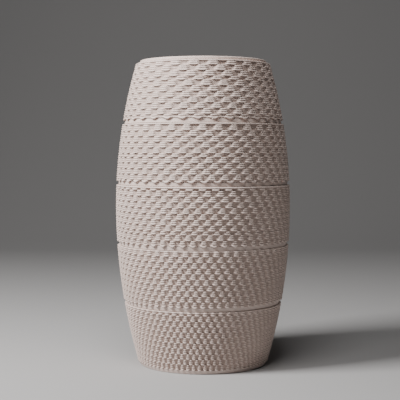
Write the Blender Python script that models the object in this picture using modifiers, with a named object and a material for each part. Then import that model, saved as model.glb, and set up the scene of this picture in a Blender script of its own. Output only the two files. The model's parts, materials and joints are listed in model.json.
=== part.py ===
"""A barrel-shaped vase of clay, printed as five ribbed courses and stacked on plain locating rings.

Metres, +Z up, origin at the centre of the foot. Every sub-part is turned about Z.
"""

import math

import bmesh
import bpy

COLLECTION = "stacked_ring_vase"

# Outline: the tips of the bumps lie on two circular arcs that meet at the belly.
BELLY_RADIUS = 0.0865
BELLY_HEIGHT = 0.1563
SHOULDER_ARC = 0.495
FOOT_ARC = 0.555

# The print: one bead's height, and the ribbed beads of each course from the bottom up.
LAYER = 0.00178
COURSE_LAYERS = (32, 30, 31, 31, 31)
BUMP = 0.0023

# Plain pieces between, under and over the courses; the insets are from the tips of the bumps.
JOINT_BAND = 0.0041
FOOT_BAND = 0.0041
FOOT_INSET = 0.0010
RIM_LIP = 0.0026
RIM_INSET = 0.0041

# Walls and the plug fit of the spigots.
WALL = 0.0085
LEDGE = 0.0050
SPIGOT_WALL = 0.0035
SPIGOT_HEIGHT = 0.0080
SPIGOT_CLEARANCE = 0.0005
SEAT_RELIEF = 0.0010
LEAD_IN = 0.0008
EDGE_ROUND = 0.0006

# Pieces that rest on each other keep this gap.
GAP = 0.0003

STEPS = 48
WALL_POINTS = 5

CLAY = (0.60, 0.55, 0.50, 1.0)
SLIP = (0.64, 0.59, 0.54, 1.0)


def tip_radius(z):
    """Radius of the bumps' tips at height z."""
    arc = SHOULDER_ARC if z > BELLY_HEIGHT else FOOT_ARC
    return BELLY_RADIUS - (arc - math.sqrt(arc**2 - (z - BELLY_HEIGHT) ** 2))


def course_spans():
    """(bottom, top) of each course, from the bottom up."""
    spans = []
    z = FOOT_BAND
    for layers in COURSE_LAYERS:
        spans.append((z, z + layers * LAYER))
        z = spans[-1][1] + JOINT_BAND
    return spans


SPANS = course_spans()
SEAT = SPIGOT_HEIGHT + SEAT_RELIEF


def seat_radius(low, high):
    """Bore that a spigot plugs into: a ledge's width inside the thinnest wall from low to high."""
    return min(tip_radius(low), tip_radius(high)) - BUMP - LEDGE


# One bore for each level where pieces meet: under the first course, between courses, over the last.
BORES = [seat_radius(SPANS[0][0], SPANS[0][0] + SEAT)]
for lower, upper in zip(SPANS, SPANS[1:]):
    BORES.append(seat_radius(lower[1] - SEAT, upper[0] + SEAT))
BORES.append(seat_radius(SPANS[-1][1] - SEAT, SPANS[-1][1]))


def clay_material(name, colour, roughness):
    """Unglazed fired clay."""
    material = bpy.data.materials.new(name)
    material.use_nodes = True
    shader = material.node_tree.nodes["Principled BSDF"]
    shader.inputs["Base Color"].default_value = colour
    shader.inputs["Roughness"].default_value = roughness
    shader.inputs["Metallic"].default_value = 0.0
    return material


def turned(name, outline, collection, colour, roughness=0.9):
    """A closed outline of (radius, height), outer side first and downwards, turned about Z."""
    mesh = bpy.data.meshes.new(name)
    section = bmesh.new()
    corners = [section.verts.new((radius, 0.0, height)) for radius, height in outline]
    for here, there in zip(corners, corners[1:] + corners[:1]):
        if here.co.x > 0.0 or there.co.x > 0.0:
            section.edges.new((here, there))
    section.to_mesh(mesh)
    section.free()
    piece = bpy.data.objects.new(name, mesh)
    collection.objects.link(piece)
    screw = piece.modifiers.new("Turn", "SCREW")
    screw.axis = "Z"
    screw.angle = math.tau
    screw.steps = STEPS
    screw.render_steps = STEPS
    screw.use_merge_vertices = True
    screw.merge_threshold = 0.00005
    screw.use_smooth_shade = True
    mesh.materials.append(clay_material(name + "_clay", colour, roughness))
    return piece


def heights(low, high, count):
    """count heights from high down to low, evenly spaced."""
    return [high + (low - high) * step / (count - 1) for step in range(count)]


def course_outline(index):
    """A ribbed course: its bumps' envelope outside, a bored seat at each end inside."""
    bottom, top = SPANS[index]
    top -= GAP
    outer = [(tip_radius(z), z) for z in heights(bottom, top, WALL_POINTS)]
    low_seat, high_seat = bottom + SEAT, top - SEAT
    inner = [(BORES[index], bottom), (BORES[index], low_seat)]
    for z in reversed(heights(low_seat, high_seat, WALL_POINTS - 1)):
        inner.append((tip_radius(z) - WALL, z))
    inner += [(BORES[index + 1], high_seat), (BORES[index + 1], top)]
    return outer + inner


def spigot_up(bore, base):
    """Corners of an upward spigot from its tip's inner edge round to its foot outside."""
    outside = bore - SPIGOT_CLEARANCE
    tip = base + SPIGOT_HEIGHT
    return [
        (outside - SPIGOT_WALL, tip),
        (outside - LEAD_IN, tip),
        (outside, tip - LEAD_IN),
        (outside, base),
    ]


def spigot_down(bore, base):
    """Corners of a downward spigot from its foot outside round to its tip's inner edge."""
    outside = bore - SPIGOT_CLEARANCE
    tip = base - SPIGOT_HEIGHT
    return [
        (outside, base),
        (outside, tip + LEAD_IN),
        (outside - LEAD_IN, tip),
        (outside - SPIGOT_WALL, tip),
    ]


def joint_outline(index):
    """A plain ring between two courses: a band flush with the valleys, a spigot each way."""
    low = SPANS[index][1]
    high = SPANS[index + 1][0] - GAP
    bore = BORES[index + 1]
    band = [(tip_radius(high) - BUMP, high), (tip_radius(low) - BUMP, low)]
    return spigot_up(bore, high) + band + spigot_down(bore, low)


def foot_outline():
    """The floor of the vase: a disc with a rounded foot and a spigot up into the first course."""
    high = FOOT_BAND - GAP
    edge = tip_radius(high) - FOOT_INSET
    foot = tip_radius(0.0) - FOOT_INSET
    disc = [(edge, high), (foot, EDGE_ROUND), (foot - EDGE_ROUND, 0.0), (0.0, 0.0)]
    inside = BORES[0] - SPIGOT_CLEARANCE - SPIGOT_WALL
    return spigot_up(BORES[0], high) + disc + [(0.0, high), (inside, high)]


def rim_outline():
    """The mouth: a narrow lip on the last course, with a spigot down into it."""
    low = SPANS[-1][1]
    high = low + RIM_LIP
    inside = BORES[-1] - SPIGOT_CLEARANCE - SPIGOT_WALL
    edge = tip_radius(low) - RIM_INSET
    lip = [
        (inside + EDGE_ROUND, high),
        (edge - EDGE_ROUND, high),
        (edge, high - EDGE_ROUND),
        (edge, low),
    ]
    return lip + spigot_down(BORES[-1], low) + [(inside, high - EDGE_ROUND)]


def build():
    """Makes every sub-part, from the floor up."""
    for old in list(bpy.data.objects):
        bpy.data.objects.remove(old, do_unlink=True)
    collection = bpy.data.collections.new(COLLECTION)
    bpy.context.scene.collection.children.link(collection)
    turned("foot_plate", foot_outline(), collection, SLIP)
    for index in range(len(SPANS)):
        turned(f"course_{index + 1}", course_outline(index), collection, CLAY)
    for index in range(len(SPANS) - 1):
        turned(f"joint_ring_{index + 1}", joint_outline(index), collection, SLIP)
    turned("rim_ring", rim_outline(), collection, SLIP)


build()
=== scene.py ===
# %% [markdown]
# # A stacked vase of printed clay
#
# The vase is a barrel of five ribbed rings, or courses. Each course was printed in clay, bead on
# bead, and the nozzle swung out and in as it went round, so that the beads bulge into rows of
# bumps. Plain smooth rings part the courses, and a plain foot and a thin lip end them.
#
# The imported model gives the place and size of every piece. This script makes the fine surface:
# each bead and each bump as real mesh, and the clay that they are made of.

# %% Load the frame
import json
import math

import bmesh
import bpy
import numpy as np
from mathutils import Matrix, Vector

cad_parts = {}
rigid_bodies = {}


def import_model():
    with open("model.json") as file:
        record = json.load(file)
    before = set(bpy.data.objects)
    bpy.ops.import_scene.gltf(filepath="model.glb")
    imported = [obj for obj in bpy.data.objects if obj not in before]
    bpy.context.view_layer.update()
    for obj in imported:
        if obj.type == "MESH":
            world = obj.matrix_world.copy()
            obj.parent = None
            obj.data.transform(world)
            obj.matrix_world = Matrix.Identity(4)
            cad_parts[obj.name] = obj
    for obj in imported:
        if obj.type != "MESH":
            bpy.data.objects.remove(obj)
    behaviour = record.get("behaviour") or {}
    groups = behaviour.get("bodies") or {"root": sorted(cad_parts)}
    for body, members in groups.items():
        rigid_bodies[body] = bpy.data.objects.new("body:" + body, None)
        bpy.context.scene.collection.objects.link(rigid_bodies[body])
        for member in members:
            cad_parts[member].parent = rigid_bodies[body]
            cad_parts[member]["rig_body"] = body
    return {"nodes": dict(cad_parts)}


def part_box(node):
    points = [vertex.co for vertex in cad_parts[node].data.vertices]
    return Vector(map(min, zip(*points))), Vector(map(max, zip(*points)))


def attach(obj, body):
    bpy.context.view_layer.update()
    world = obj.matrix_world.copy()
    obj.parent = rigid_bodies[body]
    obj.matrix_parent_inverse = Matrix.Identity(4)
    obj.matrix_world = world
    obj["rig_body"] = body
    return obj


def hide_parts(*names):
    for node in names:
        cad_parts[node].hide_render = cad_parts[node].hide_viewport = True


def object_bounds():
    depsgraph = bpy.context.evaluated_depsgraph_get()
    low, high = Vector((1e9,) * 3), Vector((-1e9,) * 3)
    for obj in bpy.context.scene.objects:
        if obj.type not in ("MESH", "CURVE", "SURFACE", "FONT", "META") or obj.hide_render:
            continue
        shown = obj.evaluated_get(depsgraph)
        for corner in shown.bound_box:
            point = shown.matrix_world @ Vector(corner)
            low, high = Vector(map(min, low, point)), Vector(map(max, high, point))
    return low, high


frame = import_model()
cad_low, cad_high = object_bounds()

MM = 0.001

print("the vase is", round((cad_high.z - cad_low.z) / MM, 1), "mm tall")

# %% [markdown]
# ## The outline
#
# A course can't be placed without the outline that all five share. The bumps' tips lie on two
# circular arcs that meet at the belly, the widest level. The belly's radius is half of the
# model's width, so it is read from the frame.

# %% The barrel's outline
BELLY_RADIUS = cad_high.x
BELLY_HEIGHT = 156.3 * MM
SHOULDER_ARC = 495 * MM
FOOT_ARC = 555 * MM


def tip_radius(z):
    """Radius of the bumps' tips at height z, which may be an array."""
    arc = np.where(z > BELLY_HEIGHT, SHOULDER_ARC, FOOT_ARC)
    return BELLY_RADIUS - (arc - np.sqrt(arc**2 - (z - BELLY_HEIGHT) ** 2))


print("belly radius", round(BELLY_RADIUS / MM, 1), "mm")

# %% [markdown]
# ## How the courses were printed
#
# Each bead is 1.78 mm high. A row of bumps is three beads high, but each thirteenth row is only
# two, because the row's height isn't a whole number of beads. Every row has one bump more than
# the row above it: 23 round the rim, 75 round the foot. Two rows are shared by the courses above
# and below a joint. All rows start in step on one upright line at the back, so the bumps slide
# out of step round the vase: they make bricks at the front and slanting columns at the right.
#
# The bumps could be drawn as a texture, but then the outline would stay smooth. As mesh, they
# catch the light, shade each other and break the outline, as the clay ones do.

# %% Rows and beads
BUMP = 2.3 * MM  # how far the tips stand out past the hollows between them

# From the top down: node, bumps in the first row, beads in each row, start line in degrees, and
# how full the course's first bead, its last beads and each row's top bead stay between the bumps.
COURSES = (
    ("course_5", 23, (3, 3, 3, 2, 3, 3, 3, 3, 3, 3, 2), 149.3, 0.75, 0.30, 0.28),
    ("course_4", 33, (1, 3, 3, 3, 3, 3, 2, 3, 3, 3, 3, 1), 148.1, 0.92, 0.20, 0.22),
    ("course_3", 44, (2, 3, 3, 3, 3, 3, 3, 3, 2, 3, 3), 147.1, 0.92, 0.0, 0.12),
    ("course_2", 55, (3, 3, 3, 3, 3, 3, 3, 3, 3, 3), 146.3, 0.30, 0.0, 0.04),
    ("course_1", 65, (2, 3, 3, 3, 3, 3, 3, 3, 3, 3, 3), 145.7, 0.45, 0.0, 0.0),
)


def beads_of(rows):
    """(row, place in the row, beads in the row) of each bead, from the top down."""
    return [(row, place, count) for row, count in enumerate(rows) for place in range(count)]


print("beads in each course:", [sum(rows) for _, _, rows, *_ in COURSES])

# %% [markdown]
# ## One bump
#
# Seen from outside, a bump is a small loaf: its top bead is short, the beads under it longer, and
# the lowest hangs over the hollow below and sags a little in the middle. Between two bumps the
# top bead of a row swings back less than the beads under it. Round the vase a bump is a
# flat-topped wave. A smooth step makes one flank, and the wave repeats with each bump.

# %% The shape of a bump round the vase
TOP_BEAD_SHARE = 0.44
LOW_BEAD_SHARE = 0.60
FLANK_SHARE = 0.22


def smooth(x):
    """0 to 1 with soft ends."""
    x = np.clip(x, 0.0, 1.0)
    return x * x * (3.0 - 2.0 * x)


def bump_wave(turn, count, share):
    """1 on a bump, 0 between bumps. turn is 0 to 1 round the vase from the start line."""
    off_centre = np.abs((turn * count + 0.5) % 1.0 - 0.5)
    return smooth((share / 2 + FLANK_SHARE / 2 - off_centre) / FLANK_SHARE)


print("a bump spans", TOP_BEAD_SHARE, "of its pitch at the top and", LOW_BEAD_SHARE, "below")

# %% [markdown]
# ## A course as one grid
#
# The outer skin is a grid: columns round the vase, and four rows of points for each bead, one in
# the groove and three on the bead's round face. numpy works on a whole ring of points at once,
# which is far quicker than bmesh for a hundred thousand of them.

# %% Bead profile
BEAD_STEPS = (0.16, 0.5, 0.84)  # where the face's points lie, as shares of the bead's height
GROOVE = 1.05 * MM  # depth between two beads on a bump's tip
HOLLOW_GROOVE = 0.3  # share of the groove's depth that is left where the bead lies in a hollow
SKIN_CLEARANCE = 0.15 * MM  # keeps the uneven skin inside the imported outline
# Weights of the painted shade for a point's depth in a hollow and in a groove.
HOLLOW_SHADE_WEIGHT = 0.55
GROOVE_SHADE_WEIGHT = 2.4


def bead_bulge(step):
    """How far the round face of a bead stands out of its groove, as a share."""
    return math.sqrt(1.0 - (2.0 * step - 1.0) ** 2)


def groove_depth(out):
    """The groove's depth where the wave is out this far."""
    return GROOVE * (HOLLOW_GROOVE + (1.0 - HOLLOW_GROOVE) * out)


def shade_depth(hollow, groove):
    """How deep a point counts for the painted shade: grooves are painted darker than open hollows.
    """
    return HOLLOW_SHADE_WEIGHT * hollow + GROOVE_SHADE_WEIGHT * groove


print("groove on a tip", round(groove_depth(1.0) / MM, 2), "mm deep")

# %% [markdown]
# ## Clay isn't even
#
# A printer's clay comes out a little thicker and thinner, and a soft bead sags where nothing
# holds it. A noise displacement could do this, but it would roughen the bead's round face. So a
# few slow waves run round each bead instead, drawn from a fixed seed, and the same wave that
# makes the bumps tells where a bead hangs free.

# %% Uneven beads
WOBBLE_WAVES = (3, 7, 13, 29, 53)
LIFT_WOBBLE = 0.05 * MM
PUSH_WOBBLE = 0.06 * MM
COURSE_SEED = 1000
PUSH_SEED = 500


def wobble(turn, seed, size):
    """The nozzle's small unevenness round one bead."""
    draw = np.random.default_rng(seed)
    total = np.zeros_like(turn)
    for waves in WOBBLE_WAVES:
        total += draw.normal() * np.cos(math.tau * (waves * turn + draw.random())) / waves**0.5
    return total * size


sample = wobble(np.arange(360) / 360, COURSE_SEED, PUSH_WOBBLE)
print("one bead wanders", round((sample.max() - sample.min()) / MM, 2), "mm in and out")

# %% Beads that swing and sag
SAG = 0.45 * MM
FREE_SAG = 1.7 * MM  # the course's last beads have nothing under them
SAG_WIDTH = 0.55  # share of the bump that sags
SAG_ABOVE = 0.3  # share of the sag at the bead's upper edge
SAG_GROOVE = 0.6  # share of the sag in the groove under the bead
SAG_BELOW = 0.15  # share of the next bead's sag in the groove over it


def bead_fields(turn, beads, first_count, first_fill, last_fill, row_fill):
    """For each bead, how far the wave is out (0 to 1) and how far it sags, round the vase."""
    fields = []
    for index, (row, place, count) in enumerate(beads):
        along = place / (count - 1) if count > 1 else 1.0
        share = TOP_BEAD_SHARE + (LOW_BEAD_SHARE - TOP_BEAD_SHARE) * along
        out = bump_wave(turn, first_count + row, share)
        fill = row_fill * (1.0 - along)
        if index == 0:
            fill = first_fill
        elif row == beads[-1][0]:
            fill = last_fill
        out = fill + (1.0 - fill) * out
        sag = np.zeros_like(turn)
        if place == count - 1 and index > 0:
            last = index == len(beads) - 1
            hang = bump_wave(turn, first_count + row, share * SAG_WIDTH)
            sag = hang * (FREE_SAG if last else SAG)
        fields.append((out, sag))
    return fields


def skin_rings(turn, top, bottom, fields, seed):
    """Radius, height and depth of each ring of points of the outer skin, from the top down."""
    layer = (top - bottom) / len(fields)
    rings = []
    for index, (out, sag) in enumerate(fields):
        lift = wobble(turn, seed + index, LIFT_WOBBLE)
        push = wobble(turn, seed + PUSH_SEED + index, PUSH_WOBBLE)
        for step in BEAD_STEPS:
            z = top - (index + step) * layer
            hollow = (1.0 - out) * BUMP
            groove = (1.0 - bead_bulge(step)) * groove_depth(out)
            radius = tip_radius(z) - hollow - groove + push - SKIN_CLEARANCE
            height = z + lift - sag * (SAG_ABOVE + (1.0 - SAG_ABOVE) * step)
            rings.append((radius, height, shade_depth(hollow, groove)))
        z = top - (index + 1) * layer
        below, below_sag = fields[min(index + 1, len(fields) - 1)]
        least = np.minimum(out, below)
        hollow = (1.0 - least) * BUMP
        groove = groove_depth(least)
        radius = tip_radius(z) - hollow - groove
        height = z - SAG_GROOVE * sag - SAG_BELOW * below_sag
        rings.append((radius, height, shade_depth(hollow, groove)))
    return rings


print("beads sag", round(SAG / MM, 2), "mm, and", round(FREE_SAG / MM, 2), "mm at a course's end")

# %% [markdown]
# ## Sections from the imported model
#
# Nobody prints a pattern on the inside, but it shows through the mouth and when the courses come
# apart. The seats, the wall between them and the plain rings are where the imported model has
# them, so a piece's own section is read: the closed loop of its corners that lies at y = 0.

# %% Read a section
WALL = 8.5 * MM
INNER_SHARE = 0.7  # a corner this share of the wall behind the tips belongs to the inside
SAME_CORNER = 5  # digits, in metres


def section_of(node):
    """(radius, height) of the node's corners in order round its section."""
    mesh = frame["nodes"][node].data
    corners = [tuple(round(part, SAME_CORNER) for part in vertex.co) for vertex in mesh.vertices]
    links = {}
    for edge in mesh.edges:
        ends = [(corners[i][0], corners[i][2]) for i in edge.vertices if corners[i][1] == 0.0]
        if len(ends) == 2 and ends[0] != ends[1] and min(end[0] for end in ends) >= 0.0:
            links.setdefault(ends[0], set()).add(ends[1])
            links.setdefault(ends[1], set()).add(ends[0])
    path = [min(links, key=lambda corner: (len(links[corner]), corner[1], corner[0]))]
    while True:
        ahead = sorted(links[path[-1]] - set(path))
        if not ahead:
            return path
        path.append(ahead[0])


def inner_section(node):
    """The part of a course's section that lies inside the wall, from the bottom up."""
    path = section_of(node)
    inner = [r < tip_radius(z) - INNER_SHARE * WALL for r, z in path]
    start = next(i for i in range(len(path)) if inner[i] and not inner[i - 1])
    path = [path[(start + i) % len(path)] for i in range(sum(inner))]
    return path if path[0][1] < path[-1][1] else path[::-1]


print("corners of joint_ring_1:", len(section_of("joint_ring_1")))
print("inner corners of course_3:", len(inner_section("course_3")))

# %% [markdown]
# ## From rings to a mesh
#
# A closed ring of rings makes a solid: down the outer skin, across the bottom face, up the
# inside and across the top. Every point also keeps how deep it lies under the bumps' tips, and
# the clay's colour uses that to paint shade into the hollows and grooves.

# %% Mesh from rings
FACES_PER_COURSE = 98000


def solid_from_rings(name, rings, turn, start):
    """A closed mesh whose section is the closed path through the rings, in order."""
    angle = math.radians(start) + math.tau * turn
    columns = len(turn)
    points = np.empty((len(rings), columns, 3))
    depths = np.empty((len(rings), columns))
    for index, (radius, height, depth) in enumerate(rings):
        points[index, :, 0] = radius * np.sin(angle)
        points[index, :, 1] = -radius * np.cos(angle)
        points[index, :, 2] = height
        depths[index] = depth
    ring = np.arange(len(rings))[:, None]
    column = np.arange(columns)[None, :]
    next_ring = (ring + 1) % len(rings)
    next_column = (column + 1) % columns
    faces = np.stack(
        [
            ring * columns + column,
            next_ring * columns + column,
            next_ring * columns + next_column,
            ring * columns + next_column,
        ],
        axis=-1,
    ).reshape(-1, 4)
    mesh = bpy.data.meshes.new(name)
    mesh.from_pydata(points.reshape(-1, 3).tolist(), [], faces.tolist())
    mesh.shade_smooth()
    depth_layer = mesh.attributes.new("depth", "FLOAT", "POINT")
    depth_layer.data.foreach_set("value", (depths.reshape(-1) / MM).astype(np.float32))
    piece = bpy.data.objects.new(name, mesh)
    bpy.context.scene.collection.objects.link(piece)
    return piece


print("a course has at most", FACES_PER_COURSE, "faces")

# %% [markdown]
# ## The ribbed courses
#
# Each of the five courses is one body of clay, so it is one mesh: the printed skin outside, and
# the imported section's seats and wall inside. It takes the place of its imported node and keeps
# just under the size at which a piece would be thinned out for export.

# %% Make the ribbed courses
INSIDE_DEPTH = 0.8 * MM  # the plain faces count as this deep for the painted shade, so the inside is shaded a little
EDGE_DEPTH = 0.7 * MM


def make_course(node, first_count, rows, start, first_fill, last_fill, row_fill, seed):
    """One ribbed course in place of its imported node."""
    low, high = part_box(node)
    inner = inner_section(node)
    beads = beads_of(rows)
    ring_count = (len(BEAD_STEPS) + 1) * len(beads) + len(inner) + 1
    columns = FACES_PER_COURSE // ring_count
    turn = np.arange(columns) / columns
    fields = bead_fields(turn, beads, first_count, first_fill, last_fill, row_fill)
    rings = skin_rings(turn, high.z, low.z, fields, seed)
    flat = np.zeros(columns)
    rings[-1] = (rings[-1][0], low.z + flat, rings[-1][2])
    for radius, z in inner:
        rings.append((radius + flat, z + flat, INSIDE_DEPTH + flat))
    top_edge = tip_radius(high.z) - BUMP
    rings.append((top_edge + flat, high.z + flat, EDGE_DEPTH + flat))
    piece = solid_from_rings(node + "_beads", rings, turn, start)
    print(piece.name, len(piece.data.polygons), "faces,", columns, "columns")
    return piece


made_courses = {}
for place, course in enumerate(COURSES):
    made_courses[course[0]] = make_course(*course, COURSE_SEED * (place + 1))

# %% [markdown]
# ## The plain rings
#
# The joint rings, the foot and the lip were thrown or sponged smooth. A bevel would soften the
# packed rings' corners, but leave their coarse steps round the vase. So they are turned again
# from their own sections, with soft corners and the slight unevenness of a wet sponge.

# %% Soft corners
SOFT_CORNER = 0.3 * MM
EDGE_SHARE = 0.3  # a corner takes no more than this share of a short edge
HOLD_SHARE = 0.4  # where the points that hold the flats stand, as a share of the corner
ON_AXIS = 1e-6


def softened(path):
    """The closed path with each corner cut by a small curve and held flat beside it."""
    out = []
    for index, corner in enumerate(path):
        corner = np.array(corner)
        before = np.array(path[index - 1]) - corner
        after = np.array(path[(index + 1) % len(path)]) - corner
        if corner[0] < ON_AXIS:
            out.append(corner)
            continue
        reach = min(SOFT_CORNER, EDGE_SHARE * np.hypot(*before), EDGE_SHARE * np.hypot(*after))
        start = corner + before / np.hypot(*before) * reach
        end = corner + after / np.hypot(*after) * reach
        middle = 0.25 * start + 0.5 * corner + 0.25 * end
        hold_start = start + (start - corner) * HOLD_SHARE
        hold_end = end + (end - corner) * HOLD_SHARE
        out += [hold_start, start, middle, end, hold_end]
    return out


print("points round joint_ring_1:", len(softened(section_of("joint_ring_1"))))

# %% Turn the plain rings
PLAIN = ("foot_plate", "joint_ring_1", "joint_ring_2", "joint_ring_3", "joint_ring_4", "rim_ring")
PLAIN_COLUMNS = 320
PLAIN_DEPTH = 0.6 * MM  # as INSIDE_DEPTH, for the plain rings
PLAIN_SEED = 7000
SPONGE_WOBBLE = 0.03 * MM
SPONGE_INSET = 0.08 * MM
SAME_POINT = 1e-7


def make_plain(node, seed):
    """A plain ring turned from its section."""
    turn = np.arange(PLAIN_COLUMNS) / PLAIN_COLUMNS
    flat = np.zeros(PLAIN_COLUMNS)
    rings = []
    for radius, z in softened(section_of(node)):
        sponge = wobble(turn, seed, SPONGE_WOBBLE) - SPONGE_INSET if radius > ON_AXIS else 0.0
        rings.append((radius + sponge + flat, z + flat, PLAIN_DEPTH + flat))
    piece = solid_from_rings(node + "_smooth", rings, turn, 0.0)
    joined = bmesh.new()
    joined.from_mesh(piece.data)
    bmesh.ops.remove_doubles(joined, verts=joined.verts, dist=SAME_POINT)
    bmesh.ops.recalc_face_normals(joined, faces=joined.faces)
    joined.to_mesh(piece.data)
    joined.free()
    return piece


made_plain = {node: make_plain(node, PLAIN_SEED + place) for place, node in enumerate(PLAIN)}
print("plain rings:", [len(piece.data.polygons) for piece in made_plain.values()])

# %% [markdown]
# ## The clay
#
# Unglazed white stoneware: a warm off-white without gloss. High firing closes its skin a little,
# so the round beads take a soft sheen. The hollows and grooves are painted brownish as shade, so
# the tips look paler. The grog in the clay shows as a fine grain of about half a millimetre, and
# the body's colour drifts a little from place to place, over a few centimetres. The shade could
# be put on an image, but the depth that every point keeps gives it without one.

# %% Colour and node helpers
def linear(hex_colour):
    """An sRGB hex colour as linear RGBA."""
    parts = [int(hex_colour[i : i + 2], 16) / 255 for i in (1, 3, 5)]
    return (*[c / 12.92 if c < 0.04045 else ((c + 0.055) / 1.055) ** 2.4 for c in parts], 1.0)


def add_node(tree, kind, settings=None, links=None):
    """A node of this kind, with its settings, and links from sockets to its inputs."""
    node = tree.nodes.new(kind)
    for name, value in (settings or {}).items():
        if name in node.inputs:
            node.inputs[name].default_value = value
        else:
            setattr(node, name, value)
    for name, socket in (links or {}).items():
        tree.links.new(socket, node.inputs[name])
    return node


print("mid grey is", round(linear("#808080")[0], 3), "in linear light")

# %% Unglazed stoneware
CLAY = "#EAD8D0"
CLAY_WARM = "#DECABF"
# Brown of the painted shade in the hollows and grooves.
SHADE_BROWN = "#886A5A"
CLAY_IOR = 1.5
CLAY_ROUGHNESS = (0.45, 0.65)
CLOUD_SIZE = 35.7 * MM
GRAIN_SIZE = 0.5556 * MM
GRAIN_HEIGHT = 0.1 * MM
# Depths over which the painted shade goes from none to full.
SHADE_FROM = 0.15  # depths in mm, as the mesh keeps them
SHADE_FULL = 2.4


def stoneware(name, shade_share):
    """Matt unglazed stoneware; the share sets how far the painted shade browns the hollows and
    grooves.
    """
    material = bpy.data.materials.new(name)
    material.use_nodes = True
    tree = material.node_tree
    shader = tree.nodes["Principled BSDF"]
    shader.inputs["IOR"].default_value = CLAY_IOR
    place = add_node(tree, "ShaderNodeTexCoord").outputs["Object"]
    cloud = add_node(
        tree,
        "ShaderNodeTexNoise",
        {"Scale": 1.0 / CLOUD_SIZE, "Detail": 5.0},
        {"Vector": place},
    )
    body = add_node(tree, "ShaderNodeMix", {"data_type": "RGBA"}, {"Factor": cloud.outputs["Fac"]})
    body.inputs["A"].default_value = linear(CLAY)
    body.inputs["B"].default_value = linear(CLAY_WARM)
    depth = add_node(tree, "ShaderNodeAttribute", {"attribute_name": "depth"})
    # Painted shade: the deeper a point lies under the tips, the more its colour goes to the shade
    # brown.
    painted_shade = add_node(tree, "ShaderNodeMapRange", None, {"Value": depth.outputs["Fac"]})
    painted_shade.inputs["From Min"].default_value = SHADE_FROM
    painted_shade.inputs["From Max"].default_value = SHADE_FULL
    painted_shade.inputs["To Max"].default_value = shade_share
    shaded_body = add_node(
        tree,
        "ShaderNodeMix",
        {"data_type": "RGBA"},
        {"Factor": painted_shade.outputs["Result"], "A": body.outputs["Result"]},
    )
    shaded_body.inputs["B"].default_value = linear(SHADE_BROWN)
    tree.links.new(shaded_body.outputs["Result"], shader.inputs["Base Color"])
    grain = add_node(
        tree,
        "ShaderNodeTexNoise",
        {"Scale": 1.0 / GRAIN_SIZE, "Detail": 3.0},
        {"Vector": place},
    )
    rough = add_node(tree, "ShaderNodeMapRange", None, {"Value": grain.outputs["Fac"]})
    rough.inputs["To Min"].default_value = CLAY_ROUGHNESS[0]
    rough.inputs["To Max"].default_value = CLAY_ROUGHNESS[1]
    tree.links.new(rough.outputs["Result"], shader.inputs["Roughness"])
    bump = add_node(
        tree,
        "ShaderNodeBump",
        {"Strength": 0.35, "Distance": GRAIN_HEIGHT},
        {"Height": grain.outputs["Fac"]},
    )
    tree.links.new(bump.outputs["Normal"], shader.inputs["Normal"])
    return material


# The plain rings take a weaker painted shade than the ribbed courses.
ribbed_clay = stoneware("ribbed_stoneware", shade_share=0.75)
smooth_clay = stoneware("sponged_stoneware", shade_share=0.45)
print("materials:", ribbed_clay.name, smooth_clay.name)

# %% [markdown]
# ## Onto the bodies
#
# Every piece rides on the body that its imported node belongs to, so it moves when a course is
# lifted or turned, and it hides that node.

# %% Put the pieces in place
for pieces, clay, slot in (
    (made_courses, ribbed_clay, "ribbed_clay"),
    (made_plain, smooth_clay, "smooth_clay"),
):
    for node, piece in pieces.items():
        piece.data.materials.append(clay)
        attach(piece, frame["nodes"][node]["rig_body"])
        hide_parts(node)
        print(piece.name, "stands for", node)

# %% [markdown]
# ## Floor, light and camera
#
# The vase stands on a pale sweep of paper. Matt relief needs light across it: a soft lamp at the
# left, above the rim and a little to the front, makes most of the shade. A weaker one from above
# draws the bead lines, and a very weak one at the right opens the shadow side. The camera has a
# long lens, about a metre away and a little above the vase's middle.

# %% Floor
PAPER = "#ADABAA"
PAPER_ROUGHNESS = 0.95
SWEEP_WIDTH = 6.0
SWEEP_START = 1.2  # how far behind the vase the paper starts to rise
SWEEP_RADIUS = 1.0
SWEEP_HEIGHT = 3.5
SWEEP_STEPS = 12


def sweep_floor():
    """A floor that curves up into a backdrop."""
    steps = [(-SWEEP_WIDTH / 2, 0.0), (SWEEP_START, 0.0)]
    for step in range(1, SWEEP_STEPS + 1):
        angle = step / SWEEP_STEPS * math.pi / 2
        y = SWEEP_START + SWEEP_RADIUS * math.sin(angle)
        steps.append((y, SWEEP_RADIUS * (1.0 - math.cos(angle))))
    steps.append((SWEEP_START + SWEEP_RADIUS, SWEEP_HEIGHT))
    vertices = []
    for y, z in steps:
        vertices += [(x, y, cad_low.z + z) for x in (-SWEEP_WIDTH / 2, SWEEP_WIDTH / 2)]
    faces = [(2 * i, 2 * i + 1, 2 * i + 3, 2 * i + 2) for i in range(len(steps) - 1)]
    mesh = bpy.data.meshes.new("paper_sweep")
    mesh.from_pydata(vertices, [], faces)
    mesh.shade_smooth()
    floor = bpy.data.objects.new("paper_sweep", mesh)
    bpy.context.scene.collection.objects.link(floor)
    paper = bpy.data.materials.new("pale_paper")
    paper.use_nodes = True
    shader = paper.node_tree.nodes["Principled BSDF"]
    shader.inputs["Base Color"].default_value = linear(PAPER)
    shader.inputs["Roughness"].default_value = PAPER_ROUGHNESS
    mesh.materials.append(paper)
    print("floor strips:", len(faces))


sweep_floor()

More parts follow.
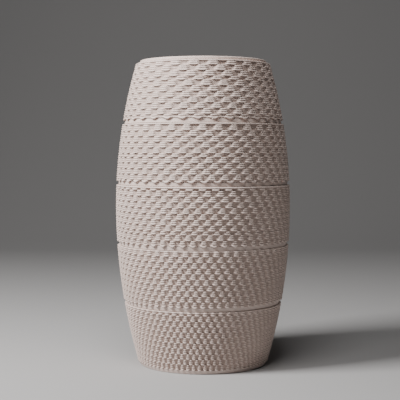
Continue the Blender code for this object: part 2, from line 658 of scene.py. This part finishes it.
# %% Lamps
AIR = "#EFEFF4"
AIR_STRENGTH = 0.02


def area_lamp(name, place, target, size, power):
    """A square soft lamp at place that faces target; size in metres, power in watts."""
    lamp = bpy.data.lights.new(name, "AREA")
    lamp.shape = "SQUARE"
    lamp.size = size
    lamp.energy = power
    holder = bpy.data.objects.new(name, lamp)
    holder.location = place
    holder.rotation_euler = (Vector(target) - Vector(place)).to_track_quat("-Z", "Y").to_euler()
    bpy.context.scene.collection.objects.link(holder)


middle = (cad_low + cad_high) / 2
area_lamp("key_lamp", (-0.74, -0.40, 0.88), cad_high, 0.34, 23.4)
area_lamp("top_lamp", (-0.05, -0.35, 0.85), cad_high, 0.35, 3.2)
area_lamp("side_lamp", (1.0, -1.3, 0.5), middle, 0.40, 0.4)

world = bpy.data.worlds.new("studio_air")
world.use_nodes = True
background = world.node_tree.nodes["Background"]
background.inputs["Color"].default_value = linear(AIR)
background.inputs["Strength"].default_value = AIR_STRENGTH
bpy.context.scene.world = world
print("lamps:", [light.name for light in bpy.data.lights])

# %% Camera
CAMERA_DISTANCE = 12.2 * BELLY_RADIUS
EYE_HEIGHT = 2.447 * BELLY_RADIUS
LENS = 95.6
SENSOR = 36.0
FAR = 20.0
AIM_LEFT = 3.0 * MM
AIM_DROP = 49.8 * MM

camera = bpy.data.cameras.new("camera")
camera.lens = LENS
camera.sensor_width = SENSOR
camera.clip_end = FAR
holder = bpy.data.objects.new("camera", camera)
holder.location = (0.0, -CAMERA_DISTANCE, cad_low.z + EYE_HEIGHT)
aim = Vector((-AIM_LEFT, 0.0, cad_low.z + EYE_HEIGHT - AIM_DROP))
holder.rotation_euler = (aim - holder.location).to_track_quat("-Z", "Y").to_euler()
bpy.context.scene.collection.objects.link(holder)
bpy.context.scene.camera = holder
print("camera", round(CAMERA_DISTANCE, 2), "m from the vase's axis")

# %% [markdown]
# ## Sizes
#
# The imported model's box is printed, in millimetres. The finished vase has to stay
# inside the imported one.

# %% Sizes
print("CAD box", [round(v / MM, 1) for v in (*cad_low, *cad_high)])
